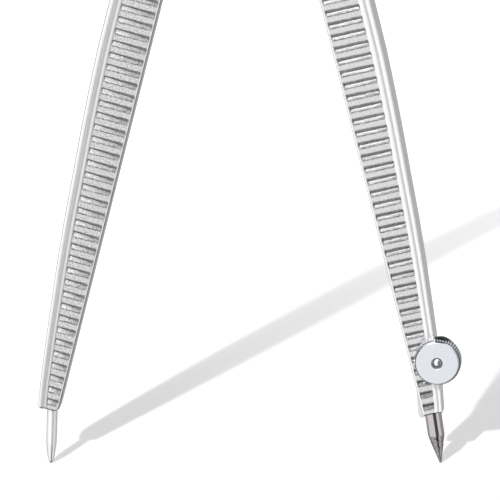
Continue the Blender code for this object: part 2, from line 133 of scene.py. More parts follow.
# Lead and its holder
lead_radius = 1.00 * MM
lead_out = 6.40 * MM
lead_in = 11.50 * MM
lead_lean = radians(5.3)
lead_exit = 1.09 * MM
lead_point_length = 3.50 * MM
lead_tip_radius = 0.12 * MM
lead_bore_slack = 0.04 * MM
lead_spare_bore = 5.00 * MM
holder_end_gap = 0.25 * MM
parting_gap = 0.14 * MM
jaw_back = 1.85 * MM
jaw_below = 0.55 * MM
jaw_inner = 0.72 * MM
jaw_width = 3.04 * MM
jaw_lean = radians(9)
jaw_corner = 0.50 * MM
clamp_out = 3.56 * MM
clamp_up = 6.65 * MM
lug_radius = 1.75 * MM
lug_front = 1.97 * MM
clamp_stud_radius = 0.50 * MM
clamp_stud_slack = 0.05 * MM
clamp_head_radius = 1.30 * MM
clamp_head_height = 0.70 * MM
clamp_washer_radius = 1.85 * MM
clamp_washer_thick = 0.18 * MM
knob_radius = 2.80 * MM
knob_thick = 2.15 * MM
knob_face_radius = 2.60 * MM
knob_teeth = 52
knob_tooth_depth = 0.14 * MM
knob_dish_radius = 0.68 * MM
knob_dish_depth = 0.22 * MM
holder_top = lead_leg_length - clamp_up - lug_radius - holder_end_gap

# Camera and light
view_azimuth = radians(5.5)
view_elevation = radians(14)
view_distance = 1000 * MM
view_width = 59.52 * MM
view_target = (0.934 * MM, 0, -99.387 * MM)
sensor = 36

# Across the rail, as shares of its width: a flat strip, a soft rise to a bead, and the rounded outer edge
rail_strip = 0.33
rail_bead = 0.60
rail_edge = 0.84
rail_steps = 8
# Shares of the rail's rise, and of the half thickness
strip_rise = 0.10
bead_climb = 0.86
edge_fall = 0.48
# A line of painted shade runs along the rail here, and reaches this far to each side
rail_line = 0.40
rail_line_reach = 0.2
rail_line_shade = 0.25
rail_line_smooth = 0.3

# The legs' edges and grooves
edge_round = 0.12 * MM
edge_turns = (0.0, 0.3, 0.7, 1.0)
edge_shade = 0.32
rim_share = 0.85
end_bevel = 0.14 * MM
end_last_row = 1.35
end_shade_from = 1.2
end_shade = 0.8
leg_sharp = radians(24)
groove_half = 0.365 * MM
groove_depth = 0.30 * MM
groove_lower = 0.31 * MM
# Plain rows stay this many half grooves away from a groove
groove_near = 1.4
panel_columns = 30
end_wall = 0.035
# How far the groove's edges waver, how often across the panel, and how near its ends that fades out
groove_waver = 0.035 * MM
groove_waver_count = 23
groove_jitter = 0.03 * MM
groove_jitter_count = 60
groove_calm = 1 / 8
back_seed = 40
# Rows of a groove. On its walls the place is a share of the wall, at its edges a distance from the edge.
# Then share of the depth, painted wall shade, painted shade line at the lower edge.
groove_rows = (
    ("upper", -0.08 * MM, 0.00, 0.0, 0.0),
    ("upper", -0.05 * MM, 0.00, 0.0, 0.0),
    ("upper", 0.0, 0.06, 0.7, 0.0),
    ("wall", 0.30, 0.42, 1.0, 0.0),
    ("wall", 0.90, 0.96, 1.0, 0.0),
    ("ramp", 0.08, 0.98, 0.5, 0.0),
    ("ramp", 0.34, 0.72, 0.30, 0.0),
    ("ramp", 0.88, 0.16, 0.22, 0.0),
    ("lower", -0.01 * MM, 0.03, 0.0, 0.7),
    ("lower", 0.06 * MM, 0.00, 0.0, 1.0),
    ("lower", 0.13 * MM, 0.00, 0.0, 1.0),
    ("lower", 0.16 * MM, 0.00, 0.0, 0.0),
)
# Each leg: share of a groove that its upper wall takes at the inner edge and at the rail, and its grain
needle_leg_walls, needle_leg_grain = (0.60, 0.22), 1.0
lead_leg_walls, lead_leg_grain = (0.54, 0.50), 0.3
# Painted shade in the grooves: on a grained leg the walls carry less of it, most of all the ramps near the
# inner edge.
# On a smooth leg the ramps are satin and carry more painted shade, more so lower down, and the last two
# grooves are darkest.
wall_relief = 0.09
ramp_relief = 0.6
smooth_line_shade = 0.35
smooth_satin = 0.6
smooth_ramp_shade = 0.17
smooth_ramp_low = 0.45
last_dark_grooves = 2
last_groove_shade = 0.9
last_groove_share = 0.5

quarter = pi / 2
origin, backward, upward = (0, 0, 0), (0, 1, 0), (0, 0, 1)

# Steps of arcs in an outline
corner_steps, cheek_steps, eye_steps = 10, 28, 40
# Sides of round bodies, from the plainest bore to the smoothest turned piece
hidden_sides, bore_sides, turned_sides, round_sides = 32, 48, 64, 72

# Meshes: points closer than this are one, faces larger than this are shaded flat
merge_distance = 1e-7
flat_area = 0.4 * MM * MM
sharp_angle = radians(35)
bevel_angle = radians(30)
smooth_angle = radians(40)
# A rounded corner takes at most this share of the runs beside it, and keeps a point just outside itself
corner_share = 0.45
corner_hold = 1.25
soft_edge = 0.05 * MM
screw_edge = 0.04 * MM
screw_bevel_angle = radians(60)
screw_core = 0.1 * MM

# The eye of a leg: where its outline leaves the gear teeth and meets the neck
gear_teeth = 3
eye_inner_angle = radians(50)
eye_outer_angle = radians(38)
eye_gear_gap = radians(8)

# Yoke
cheek_top_angle = pi / 6
yoke_bevel_steps = 4
yoke_bevel_angle = radians(50)

# The needle's taper swells a little, and its point is rounder than a cone
needle_bore_spare = 0.3 * MM
needle_taper_steps = 8
needle_point_steps = 5
needle_swell = 0.35
needle_swell_power = 0.8
needle_point_power = 0.55
needle_satin_from = 0.4
set_screw_core = 0.2 * MM
set_screw_corner = 0.08 * MM

# The lead's cone: uneven flats and small pits, with their size and how much of the radius they take
lead_cone_rows = 56
lead_cone_step = 0.05 * MM
scrape_turns, scrape_scale, scrape_share = 2.2, 3.2e3, 0.035
pit_turns, pit_scale, pit_share, pit_least = 5, 1.2e4, 0.09, 0.1
lead_worn = (("wall_shade", 0.2), ("edge_line", 0.4))

# Holder and clamp
lug_low_angle = radians(35)
holder_edge = 0.12 * MM
jaw_edge_shade = 0.5
jaw_edge_slopes = (0.15, 0.97)
clamp_stud_core = 0.05 * MM
clamp_stud_tip_share = 0.62
clamp_stud_tip = 0.12 * MM
clamp_stud_corner = 0.16 * MM

# Knob teeth and grip knurl
knob_corner = 0.03 * MM
knob_lip = 0.09 * MM
knob_lip_depth = 0.24 * MM
knob_teeth_start = 0.26 * MM
knob_teeth_end = 0.10 * MM
knob_tooth_slant = 0.26 * MM
knob_step = 0.02 * MM
knob_back_bevel = 0.08 * MM
knob_columns = 8
knob_valley_from = 0.6
knob_flank = 0.15
knob_dish_shade = 0.8
knob_front_shade = 0.5
knob_front_reach = 0.1 * MM
knob_tooth_shade = 0.1
grip_flutes = 40
grip_columns = 4
grip_flute_width = tau * grip_radius / grip_flutes
grip_knurl_depth = 0.20 * MM
grip_knurl_shade = 0.7
grip_knurl_fade = 0.3 * MM
grip_knurl_margin = 0.05 * MM
grip_core = 0.3 * MM
grip_corners = (0.25 * MM, 0.3 * MM)
grip_base = -(pivot_drop - yoke_top - boss_height - fit_gap)
stud_in_grip = 8.0 * MM
stud_in_yoke = 3.8 * MM
stud_end_gap = 0.3 * MM
stud_tip = 0.3 * MM
washer_corner = 0.06 * MM

# Metal: size of the grain, how strongly it shows, and the marks of painted shade that darken it (least, and
# more in patches)
mark_words = ("wall_shade", "edge_line", "grain", "satin")
grain_scale = 5.0e3
blotch_scale = 4.2e3
grain_contrast = 2.3
grain_darkening = 0.25
grain_roughness = 0.26
satin_roughness = 0.3
uneven_roughness = 0.12
bump_height = 0.012 * MM
bump_plain = 0.08
bump_grain = 0.35
mark_strengths = (("wall_shade", 0.62, 0.2), ("edge_line", 0.2, 0.6))

# The floor lies just under the points. Its glow to camera rays grows further back, a painted light that pales
# the shadow there: metres behind the points, and how much
floor_reach = 3.0
floor_gap = 0.02 * MM
floor_grey = 0.8
floor_lift = (
    (0.0, 0.41), (28 * MM, 0.41), (50 * MM, 0.47), (70 * MM, 0.51), (100 * MM, 0.57), (150 * MM, 0.64),
)

world_level = 0.35
tent_level = 1.12
# Sunlight from one way: most of it from a small source, the rest from a broad one that softens far shadows
key_parts = ((2.5, radians(1.4)), (0.5, radians(4)))
light_travel = (0.443, 1.765, -1.0)
# The light tent that bright metal mirrors: degrees round from the camera's own side, and how pale it is there
tent_round = (
    (-180, 0.40), (-112, 0.45), (-84, 1.0), (-9, 1.0), (-3, 0.10), (33, 0.10),
    (42, 0.95), (70, 0.95), (84, 0.42), (180, 0.42),
)
# Sine of the height looked up at: how pale the tent is, and how much of its pattern shows
tent_height = ((-1.0, 0.12), (-0.92, 0.18), (-0.8, 0.7), (-0.62, 1.0), (0.3, 1.0), (1.0, 1.0))
tent_pattern = ((-1.0, 1.0), (0.25, 1.0), (0.55, 0.0), (1.0, 0.0))
# The dark opening at the back, degrees round and how pale, then how much of it shows at each height
tent_back = ((-180, 0.02), (-150, 0.02), (-140, 1.0), (150, 1.0), (158, 0.02), (180, 0.02))
tent_back_height = (
    (-1.0, 0.0), (-0.62, 0.0), (-0.55, 1.0), (-0.38, 1.0), (-0.3, 0.0),
    (0.0, 0.0), (0.06, 1.0), (0.8, 1.0), (0.9, 0.0),
)


def new_material(name):
    made = bpy.data.materials.new(name)
    made.use_nodes = True
    return made, made.node_tree, made.node_tree.nodes["Principled BSDF"]


def add_node(tree, kind, **values):
    made = tree.nodes.new(kind)
    for key, value in values.items():
        if key in made.inputs:
            made.inputs[key].default_value = value
        else:
            setattr(made, key, value)
    return made


def graph(tree, source, low, high, points):
    """A ramp over a value that runs from low to high."""
    span = add_node(tree, "ShaderNodeMapRange", **{"From Min": low, "From Max": high})
    tree.links.new(source, span.inputs["Value"])
    ramp = add_node(tree, "ShaderNodeValToRGB")
    stops = ramp.color_ramp.elements
    for i, (at, level) in enumerate(points):
        where = (at - low) / (high - low)
        stop = stops[i] if i < 2 else stops.new(where)
        stop.position = where
        stop.color = (level, level, level, 1)
    tree.links.new(span.outputs["Result"], ramp.inputs["Fac"])
    return ramp.outputs["Color"]


def count_up(tree, operation, first, second):
    made = add_node(tree, "ShaderNodeMath", operation=operation)
    for socket, value in zip(made.inputs, (first, second)):
        if isinstance(value, (int, float)):
            socket.default_value = value
        else:
            tree.links.new(value, socket)
    return made.outputs[0]


def sums(tree):
    """Three functions that add, subtract and multiply in a node tree."""
    def work(operation):
        return lambda first, second: count_up(tree, operation, first, second)
    return work("ADD"), work("SUBTRACT"), work("MULTIPLY")


def plated(name, colour, smooth):
    """Metal with grain, painted shade on walls and along lines, and satin patches where the marks of a piece
    ask for them.
    """
    made, tree, shader = new_material(name)
    link = tree.links.new
    plus, minus, times = sums(tree)
    shader.inputs["Metallic"].default_value = 1.0
    place = add_node(tree, "ShaderNodeTexCoord").outputs["Object"]
    fine = add_node(tree, "ShaderNodeTexNoise", Scale=grain_scale, Detail=3.0, Roughness=0.7)
    link(place, fine.inputs["Vector"])
    blotches = add_node(tree, "ShaderNodeTexNoise", Scale=blotch_scale, Detail=2.0)
    link(place, blotches.inputs["Vector"])
    marks = {}
    for word in mark_words:
        marks[word] = add_node(tree, "ShaderNodeAttribute", attribute_name=word).outputs["Fac"]
    grain = marks["grain"]
    spread = times(minus(fine.outputs["Fac"], 0.5), grain)
    tone = plus(1.0, times(spread, grain_contrast))
    tone = times(tone, minus(1.0, times(grain, grain_darkening)))
    patchy = graph(tree, blotches.outputs["Fac"], 0.3, 0.7, ((0.36, 0.25), (0.6, 1.0)))
    for word, least, most in mark_strengths:
        amount = plus(least, times(patchy, most))
        tone = times(tone, minus(1.0, times(marks[word], amount)))
    paint = add_node(tree, "ShaderNodeVectorMath", operation="SCALE")
    paint.inputs[0].default_value = colour
    link(tone, paint.inputs["Scale"])
    link(paint.outputs[0], shader.inputs["Base Color"])
    rough = plus(smooth, times(grain, grain_roughness))
    rough = plus(rough, times(marks["satin"], satin_roughness))
    rough = plus(rough, times(minus(fine.outputs["Fac"], 0.5), uneven_roughness))
    link(rough, shader.inputs["Roughness"])
    raised = add_node(tree, "ShaderNodeBump", Distance=bump_height)
    link(plus(bump_plain, times(grain, bump_grain)), raised.inputs["Strength"])
    link(fine.outputs["Fac"], raised.inputs["Height"])
    link(raised.outputs["Normal"], shader.inputs["Normal"])
    return made


def blend(low, high, share):
    return low + (high - low) * share


def leg_stations(length):
    return [(blend(leg_shoulder, length, a), leg_widest * b) for a, b in leg_station_shares]


def leg_width(down, length):
    stations = leg_stations(length)
    if down <= stations[0][0]:
        return stations[0][1]
    for (d0, w0), (d1, w1) in zip(stations, stations[1:]):
        if down <= d1:
            return w0 + (w1 - w0) * (down - d0) / (d1 - d0)
    return stations[-1][1]


def add_object(name, data):
    made = bpy.data.objects.new(name, data)
    scene.collection.objects.link(made)
    return made


def aim(made, way):
    made.rotation_mode = "QUATERNION"
    made.rotation_quaternion = way.to_track_quat("-Z", "Y")


def mesh_object(name, points, faces, sharp=sharp_angle):
    mesh = bpy.data.meshes.new(name)
    mesh.from_pydata([tuple(p) for p in points], [], faces)
    work = bmesh.new()
    work.from_mesh(mesh)
    bmesh.ops.recalc_face_normals(work, faces=work.faces)
    work.to_mesh(mesh)
    work.free()
    mesh.shade_smooth()
    mesh.set_sharp_from_angle(angle=sharp)
    return add_object(name, mesh)


def mark(piece, word, values, domain="POINT"):
    """Writes one value for each point or face of a piece, which the piece's metal reads by this word."""
    piece.data.attributes.new(word, "FLOAT", domain).data.foreach_set("value", values)


def make_camera():
    lens = bpy.data.cameras.new("camera")
    lens.sensor_width = sensor
    lens.lens = sensor * view_distance / view_width
    lens.clip_start = 0.01
    lens.clip_end = 10
    made = add_object("camera", lens)
    a, e = view_azimuth, view_elevation
    back = Vector((sin(a) * cos(e), -cos(a) * cos(e), sin(e)))
    made.location = Vector(view_target) + back * view_distance
    aim(made, -back)
    scene.camera = made


def make_floor():
    """A plain pale floor through both tips, which keeps the shadow."""
    needle_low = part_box("needle")[0]
    lead_low, lead_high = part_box("lead")
    left = Vector((needle_low.x, 0, needle_low.z))
    tilt = atan2(lead_low.z - left.z, lead_high.x - left.x)
    corners = [(floor_reach * x, floor_reach * y, 0) for x, y in ((-1, -1), (1, -1), (1, 1), (-1, 1))]
    floor = mesh_object("floor", corners, [(0, 1, 2, 3)])
    floor.location = left + Vector((0, 0, -floor_gap))
    floor.rotation_euler = (0, -tilt, 0)
    made, tree, shader = new_material("pale_floor")
    link = tree.links.new
    for word, value in (("Base Color", (*[floor_grey] * 3, 1)), ("Roughness", 0.9),
                        ("Specular IOR Level", 0.0), ("Emission Color", (1, 1, 1, 1))):
        shader.inputs[word].default_value = value
    # Painted light: the floor glows to camera rays only, more the further back it lies
    path = add_node(tree, "ShaderNodeLightPath")
    lift = add_node(tree, "ShaderNodeMath", operation="MULTIPLY")
    link(path.outputs["Is Camera Ray"], lift.inputs[0])
    place = add_node(tree, "ShaderNodeSeparateXYZ")
    link(add_node(tree, "ShaderNodeTexCoord").outputs["Object"], place.inputs[0])
    link(graph(tree, place.outputs["Y"], 0.0, floor_lift[-1][0], floor_lift), lift.inputs[1])
    link(lift.outputs[0], shader.inputs["Emission Strength"])
    floor.data.materials.append(made)
    floor.visible_glossy = False


def rail_curve():
    """Runs across the rail: share of its width, share of its rise, share of the half thickness off."""
    found = [(0.04, 0.04, 0), (0.07, 0.08, 0), (rail_strip * 0.6, 0.09, 0), (rail_strip, strip_rise, 0)]
    for k in range(1, rail_steps + 1):
        t = k / rail_steps
        rise = strip_rise + bead_climb * (0.5 - 0.5 * cos(t * pi))
        found.append((blend(rail_strip, rail_bead, t), rise, 0))
    for t, rise in ((0.3, 0.99), (0.7, 1.0)):
        found.append((rail_bead * (1 - t) + rail_edge * t, rise, 0))
    for k in range(rail_steps + 1):
        a = k / rail_steps * quarter
        fall = edge_fall * (1 - cos(a)) ** 2
        found.append((blend(rail_edge, 1, sin(a)), cos(a), fall))
    return found


def groove_row_place(kind, share, across, wall_shares, seed):
    """Distance of a groove's row from its middle, for a point this far across the panel."""
    wall = blend(*wall_shares, across) * 2 * groove_half
    waver = noise.noise(Vector((across * groove_waver_count, seed * 3.1, 0.4))) * groove_waver
    jitter = noise.noise(Vector((across * groove_jitter_count, seed * 5.7, 8.1))) * groove_jitter
    fade = min(1, across / groove_calm, (1 - across) / groove_calm)
    upper = -groove_half + waver * fade
    valley = -groove_half + wall + jitter * fade
    lower = groove_lower + (waver * 0.6 + jitter) * fade
    if kind == "upper":
        return upper + share
    if kind == "wall":
        return blend(upper, valley, share)
    if kind == "ramp":
        return blend(valley, lower, share)
    return lower + share


def leg_rows(length, wall_shares):
    """Each row of a leg: its distance down, and None or (row of a groove, number of the groove)."""
    count = int((length - rib_end_margin - rib_first) / rib_pitch) + 1
    middles = [length - rib_end_margin - k * rib_pitch for k in range(count)]
    rows = [(down, None) for down, _ in leg_stations(length)[:-1]]
    for k, middle in enumerate(middles):
        rows += [(middle, (row, k)) for row in groove_rows]
        rows.append((middle + rib_pitch / 2, None))
    rows += [(length - end_bevel * end_last_row, None), (length - end_bevel, None)]

    def sort_key(row):
        down, groove = row
        return down + groove_row_place(*groove[0][:2], 0.5, wall_shares, groove[1]) if groove else down

    def kept(row):
        down, groove = row
        return groove or min(abs(down - middle) for middle in middles) >= groove_half * groove_near

    rows.sort(key=sort_key)
    return [row for row in rows if kept(row)]


def leg_columns(rail_count):
    """Across a leg, from its inner edge out: the kind of each column and its place within that kind."""
    inside = [0.0, end_wall / 2, end_wall]
    inside += [end_wall + (1 - 2 * end_wall) * k / panel_columns for k in range(1, panel_columns)]
    inside += [1 - end_wall, 1 - end_wall / 2, 1.0]
    kinds = (("edge", edge_turns), ("rim", (1.0,)), ("panel", inside), ("rail", range(rail_count)))
    return [(kind, a) for kind, places in kinds for a in places]


def groove_cut(row, across, coarse):
    """What a groove's row does to the panel there: depth, painted wall shade and a painted shade line."""
    place, _, deep, dark, thin = row
    end = min(1, across / end_wall, (1 - across) / end_wall)
    shade, line = dark * end * (1 - wall_relief * coarse), thin * end
    if place == "ramp":
        shade *= 1 - ramp_relief * coarse * (1 - across)
    elif place == "lower":
        shade += smooth_line_shade * line * (1 - coarse)
    return groove_depth * deep * end, shade, line


def ramp_tone(shade, row, number, low, smooth):
    """Paints more shade on the ramps of a smooth leg."""
    if row[0] != "ramp":
        return shade
    if smooth and number < last_dark_grooves and row[1] < last_groove_share:
        return last_groove_shade
    return min(1.0, shade + (smooth_ramp_shade + smooth_ramp_low * low) * smooth)


def leg_finish(name, length, wall_shares, back_last, coarse):
    """One leg: a ribbed panel with cut grooves, an inner rim and a rounded rail, the same at the back."""
    smooth = 1 - coarse
    rail_points = rail_curve()
    columns = leg_columns(len(rail_points))
    points = []
    marks = {word: [] for word in mark_words}

    def leg_point(down, groove, side, inset, kind, a):
        across = a if kind == "panel" else (0.0 if kind in ("edge", "rim") else 1.0)
        inside = groove and 0 < across < 1
        depth = shade = line = grain = satin = 0.0
        here = down
        if groove:
            row, number = groove
            seed = number if side < 0 else number + back_seed
            here += groove_row_place(*row[:2], across, wall_shares, seed)
            if inside and (side < 0 or down <= back_last):
                depth, shade, line = groove_cut(row, across, coarse)
        width = leg_width(here, length)
        rail = rail_base + rail_share * width
        if kind == "edge":
            v = edge_round * (1 - cos(a * quarter))
            y = leg_half_thick - edge_round * (1 - sin(a * quarter))
            shade = edge_shade * (1 - a) ** 0.5
        elif kind == "rim":
            v, y = rim_width * rim_share, leg_half_thick
        elif kind == "panel":
            v = blend(rim_width, width - rail, a)
            y = leg_half_thick - depth
            grain = coarse
            if inside:
                satin = smooth_satin * smooth
                shade = ramp_tone(shade, row, number, max(0.0, 2 * down / length - 1), smooth)
        else:
            across_share, rise, drop = rail_points[a]
            satin = 1.0 if drop == 0 else 0.0
            near_line = max(0.0, 1 - abs(across_share - rail_line) / rail_line_reach)
            shade = (rail_line_shade + rail_line_smooth * smooth) * near_line
            v = width - rail + rail * across_share
            y = leg_half_thick * (1 - drop) + rail_rise * rise
        v = inset + v * (1 - 2 * inset / width)
        if down > length - end_bevel * end_shade_from:
            shade = end_shade
        return on_leg(v, side * (y - inset), here), (shade, line, grain, satin)

    rings = [(row, 0) for row in leg_rows(length, wall_shares)] + [((length, None), end_bevel)]
    for row, inset in rings:
        for side, order in ((-1, columns), (1, columns[::-1])):
            for column in order:
                point, values = leg_point(*row, side, inset, *column)
                points.append(point)
                for word, value in zip(mark_words, values):
                    marks[word].append(value)
    leg = mesh_object(name, points, ring_faces(len(rings), 2 * len(columns), False), leg_sharp)
    for word in mark_words:
        mark(leg, word, marks[word])
    return leg


def ring_faces(rings, count, hollow):
    """Faces of a body through rings of points: a loop of rings if it is hollow, else capped at both ends."""
    faces = []
    for i in range(rings if hollow else rings - 1):
        a, b = i * count, (i + 1) % rings * count
        for k in range(count):
            m = (k + 1) % count
            faces.append((a + k, a + m, b + m, b + k))
    if not hollow:
        faces.append(tuple(range(count)))
        faces.append(tuple(range((rings - 1) * count, rings * count)))
    return faces


def rounded(profile, radius, steps=3, closed=False):
    """The same run of points with its corners rounded off."""
    found = []
    count = len(profile)
    for i, here in enumerate(profile):
        if not closed and i in (0, count - 1):
            found.append(tuple(here))
            continue
        here = Vector(here)
        before, after = Vector(profile[i - 1]) - here, Vector(profile[(i + 1) % count]) - here
        r = min(radius, before.length * corner_share, after.length * corner_share)
        a, b = here + before.normalized() * r, here + after.normalized() * r
        if before.length > 2 * corner_hold * r:
            found.append(tuple(here + before.normalized() * r * corner_hold))
        for k in range(steps + 1):
            t = k / steps
            found.append(tuple(a * (1 - t) ** 2 + here * 2 * t * (1 - t) + b * t * t))
        if after.length > 2 * corner_hold * r:
            found.append(tuple(here + after.normalized() * r * corner_hold))
    return found


def lathe(name, profile, start, along, sides=turned_sides, hollow=False, reach=None):
    """A round body about a line; profile holds (distance, radius), reach may change the radius round it."""
    along = Vector(along).normalized()
    side = along.orthogonal().normalized()
    other = along.cross(side)
    points = []
    for distance, radius in profile:
        for k in range(sides):
            a = tau * k / sides
            r = radius if reach is None else reach(distance, radius, a)
            points.append(Vector(start) + along * distance + (side * cos(a) + other * sin(a)) * r)
    return mesh_object(name, points, ring_faces(len(profile), sides, hollow))


def collar(name, start, low, high, hole, radius, corner):
    """A ring about a line that runs to the back, with its edges rounded off."""
    profile = ((low, hole), (low, radius), (high, radius), (high, hole))
    return lathe(name, rounded(profile, corner, closed=True), start, backward, round_sides, hollow=True)


def prism(name, outline, y0, y1):
    """An outline in X and Z, carried from y0 to y1."""
    points = [(x, y, z) for y in (y0, y1) for x, z in outline]
    return mesh_object(name, points, ring_faces(2, len(outline), False))


def arc(cx, cz, radius, a0, a1, steps):
    angles = [a0 + (a1 - a0) * k / steps for k in range(steps + 1)]
    return [(cx + radius * cos(a), cz + radius * sin(a)) for a in angles]


def oblong(x0, x1, z0, z1):
    return ((x0, z0), (x1, z0), (x1, z1), (x0, z1))


def combine(target, tool, operation="DIFFERENCE"):
    step = target.modifiers.new("step", "BOOLEAN")
    step.operation = operation
    step.solver = "EXACT"
    step.object = tool
    bpy.context.view_layer.update()
    baked = bpy.data.meshes.new_from_object(target.evaluated_get(bpy.context.evaluated_depsgraph_get()))
    target.modifiers.remove(step)
    target.data = baked
    bpy.data.objects.remove(tool, do_unlink=True)


def drill(target, name, radius, low, high, start, along, sides=bore_sides):
    """Cuts a round hole along a line, from low to high."""
    combine(target, lathe(name, ((low, radius), (high, radius)), start, along, sides))


def soften(target, width, least=bevel_angle, segments=2):
    """Rounds the edges off, cleans the mesh and shades it smooth up to the sharp edges."""
    work = bmesh.new()
    work.from_mesh(target.data)
    bmesh.ops.remove_doubles(work, verts=work.verts, dist=merge_distance)
    edges = [e for e in work.edges if len(e.link_faces) == 2 and e.calc_face_angle(0) > least]
    bmesh.ops.bevel(work, geom=edges, offset=width, offset_type="OFFSET", segments=segments, profile=0.5,
                    affect="EDGES", clamp_overlap=True)
    bmesh.ops.recalc_face_normals(work, faces=work.faces)
    work.to_mesh(target.data)
    work.free()
    target.data.shade_smooth()
    target.data.set_sharp_from_angle(angle=smooth_angle)
    for face in target.data.polygons:
        if face.area > flat_area:
            face.use_smooth = False


def on_leg(out, y, down):
    """A point of a right-hand leg: out from the inner edge, y, and down from the pivot."""
    return Vector((out - inner_from_pivot, y, -down))


def lean_axis(lean):
    return Vector((-sin(lean), 0, -cos(lean)))


def pivot_place(sign):
    return Matrix.Translation((sign * pivot_spacing / 2, 0, -pivot_drop))


def hang(pieces, sign):
    """Hangs pieces made for the right-hand leg on the leg at this side."""
    for piece in pieces:
        if sign < 0:
            piece.data.transform(Matrix.Scale(-1, 4, (1, 0, 0)))
            piece.data.flip_normals()
        piece.data.transform(pivot_place(sign) @ Matrix.Rotation(-sign * rest_angle, 4, "Y"))
    return pieces


def finish(piece, body, node, metal):
    """Puts a finished piece on its body, in place of its node, with its material."""
    slot, made = metal
    piece.data.materials.clear()
    piece.data.materials.append(made)
    bpy.context.view_layer.update()
    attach(piece, body)
    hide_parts(node)


def leg_eye(name, length, first_tooth):
    """Thin hinge eye with gear teeth, and the neck that runs down into the leg."""
    def polar(radius, angle):
        return (-radius * cos(angle), radius * sin(angle))

    tip, root = (gear_tip_radius, gear_tooth_tip / 2), (gear_root_radius, gear_tooth_root / 2)
    teeth = [polar(gear_root_radius, first_tooth - gear_step * 3 / 4)]
    for k in range(gear_teeth):
        middle = first_tooth + gear_step * k
        for (radius, half), side in ((root, -1), (tip, -1), (tip, 1), (root, 1)):
            teeth.append(polar(radius, middle + side * (half - gear_flank_slack) / radius))
    top = first_tooth + gear_step * gear_teeth - gear_step / 4
    teeth.append(polar(gear_root_radius, top))
    inner = rim_width / 2 - inner_from_pivot
    outer = leg_width(leg_shoulder, length) - inner_from_pivot - rim_width
    depth = leg_shoulder + eye_half_thick
    outline = [(inner, -depth), (inner, -eye_radius * sin(eye_inner_angle))] + teeth
    outline += arc(0, 0, eye_radius, pi - top - eye_gear_gap, -eye_outer_angle, eye_steps)
    outline += [(outer, -leg_shoulder), (outer, -depth)]
    eye = prism(name, outline, -eye_half_thick, eye_half_thick)
    drill(eye, "pin_hole", pin_radius + pin_clearance, -yoke_half, yoke_half, origin, backward)
    soften(eye, soft_edge)
    return eye


def needle_profile():
    """A plain shank, a taper that swells a little, and a fine rounded point."""
    taper_from = needle_out - needle_taper_start
    taper = needle_taper_start - needle_point_length
    found = [(-needle_in, needle_radius - needle_tip_radius), (-needle_in + needle_tip_radius, needle_radius),
             (taper_from, needle_radius)]
    for k in range(1, needle_taper_steps + 1):
        t = k / needle_taper_steps
        swell = cos(t * quarter) ** needle_swell_power
        thick = needle_swell * swell + (1 - needle_swell) * (1 - t)
        found.append((taper_from + taper * t, blend(needle_neck_radius, needle_radius, thick)))
    for k in range(1, needle_point_steps + 1):
        t = k / needle_point_steps
        thick = blend(needle_tip_radius, needle_neck_radius, (1 - t) ** needle_point_power)
        found.append((needle_out - needle_point_length * (1 - t), thick))
    return found


def make_needle_side():
    """The needle leg with its eye, the needle, and the grub screw that holds the needle."""
    leg = leg_finish("needle_leg_ribbed", needle_leg_length, needle_leg_walls,
                     needle_leg_length - rear_pad_length, needle_leg_grain)
    way = lean_axis(needle_lean)
    exit_point = on_leg(needle_exit, 0, needle_leg_length)
    inner, end = -inner_from_pivot, -needle_leg_length
    size = needle_end_corner
    corner = [(inner + x * size, end + z * size) for x, z in ((-1, 2), (2, -1), (-1, -1))]
    combine(leg, prism("end_corner", corner, -yoke_half, yoke_half))
    near = needle_radius + needle_bore_slack
    drill(leg, "bore", near, -(needle_in + needle_bore_spare), needle_radius * 2, exit_point, way)
    hold = exit_point - way * set_screw_up
    drill(leg, "hold_hole", set_screw_radius + needle_bore_slack, 0, yoke_half, hold, backward)
    eye = leg_eye("needle_leg_eye", needle_leg_length, -gear_step / 2)

    needle = lathe("needle_steel", needle_profile(), exit_point, way)
    satins = []
    for point in needle.data.vertices:
        up = 1 - (point.co - exit_point).dot(way) / needle_out
        satins.append(min(1.0, max(0.0, up / needle_satin_from)))
    mark(needle, "satin", satins)

    far = leg_half_thick - set_screw_sink
    profile = ((near, set_screw_core), (near, set_screw_radius - set_screw_sink),
               (near + set_screw_sink, set_screw_radius), (far, set_screw_radius), (far, set_screw_core))
    grub = lathe("needle_set_screw_slotted", rounded(profile, set_screw_corner), hold, backward, bore_sides)
    slot, wide = screw_slot_width / 2, set_screw_radius * 2
    outline = oblong(hold.x - wide, hold.x + wide, hold.z - slot, hold.z + slot)
    combine(grub, prism("slot", outline, far - screw_slot_depth, far + screw_slot_depth))
    return hang((leg, eye, needle, grub), -1)


def jaw_outline():
    """The rear jaw seen from the front, in the leg's own X and Z."""
    x0 = -jaw_inner - inner_from_pivot
    x1 = x0 + jaw_width
    bottom = -(lead_leg_length + jaw_below)
    lean = tan(jaw_lean)
    axis = on_leg(clamp_out, 0, lead_leg_length - clamp_up)
    top, low = axis.z + lug_radius, axis.z - lug_radius
    points = arc(x0 + jaw_corner, bottom + jaw_corner, jaw_corner, -quarter, -pi, corner_steps)
    points += [(x0 + (top - bottom) * lean, top)]
    points += arc(axis.x, axis.z, lug_radius, quarter, -lug_low_angle, cheek_steps)
    points += [(x1 + (low - bottom) * lean, low)]
    points += arc(x1 - jaw_corner, bottom + jaw_corner, jaw_corner, 0, -quarter, corner_steps)
    return points


def scraped(distance, radius, angle):
    """The lead's cone is sharpened by hand: uneven flats and small pits round it."""
    if not lead_out - lead_point_length + 2 * lead_cone_step <= distance <= lead_out - lead_cone_step:
        return radius
    x, y = cos(angle), sin(angle)
    flats = noise.noise(Vector((x * scrape_turns, y * scrape_turns, distance * scrape_scale)))
    pits = noise.noise(Vector((x * pit_turns, y * pit_turns, distance * pit_scale)))
    return radius * (1 + scrape_share * flats - pit_share * max(0.0, pits - pit_least))


